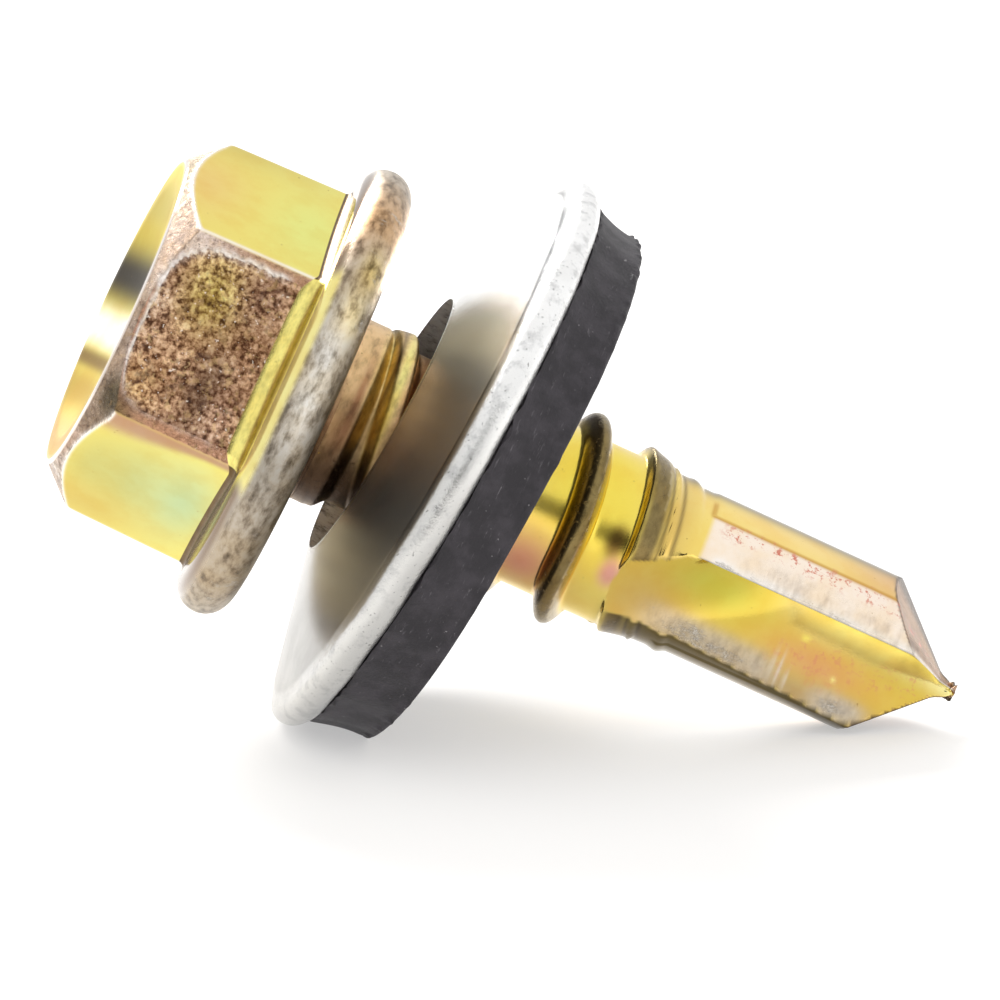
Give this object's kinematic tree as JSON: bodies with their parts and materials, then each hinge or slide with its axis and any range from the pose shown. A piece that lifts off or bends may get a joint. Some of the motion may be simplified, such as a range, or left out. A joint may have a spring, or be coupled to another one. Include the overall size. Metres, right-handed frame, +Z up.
{
  "type": "self drilling screw",
  "caption": "Hex washer-head self-drilling screw in yellow zinc, with a dished sealing washer of metal and black rubber cocked on its shank.",
  "frame": {"origin": "middle of the bounding box, on the floor it lies on", "axes": "+Z up from the floor; the screw's axis lies in the XZ plane and falls towards +X, from the head to the drill point"},
  "size_m": [0.0206, 0.014, 0.0131],
  "materials": {
    "yellow_zinc": "satin",
    "bare_zinc": "satin",
    "black_rubber": "matte"
  },
  "bodies": {
    "screw": {"screw": "yellow_zinc"},
    "sealing_washer": {"metal_disc": "bare_zinc", "rubber_ring": "black_rubber"}
  },
  "joints": [
    {"name": "washer_slide", "type": "slide", "parent": "screw", "child": "sealing_washer", "axis": [0.9112, 0, -0.4121], "range_m": [-0.00115, 0.004]}
  ]
}
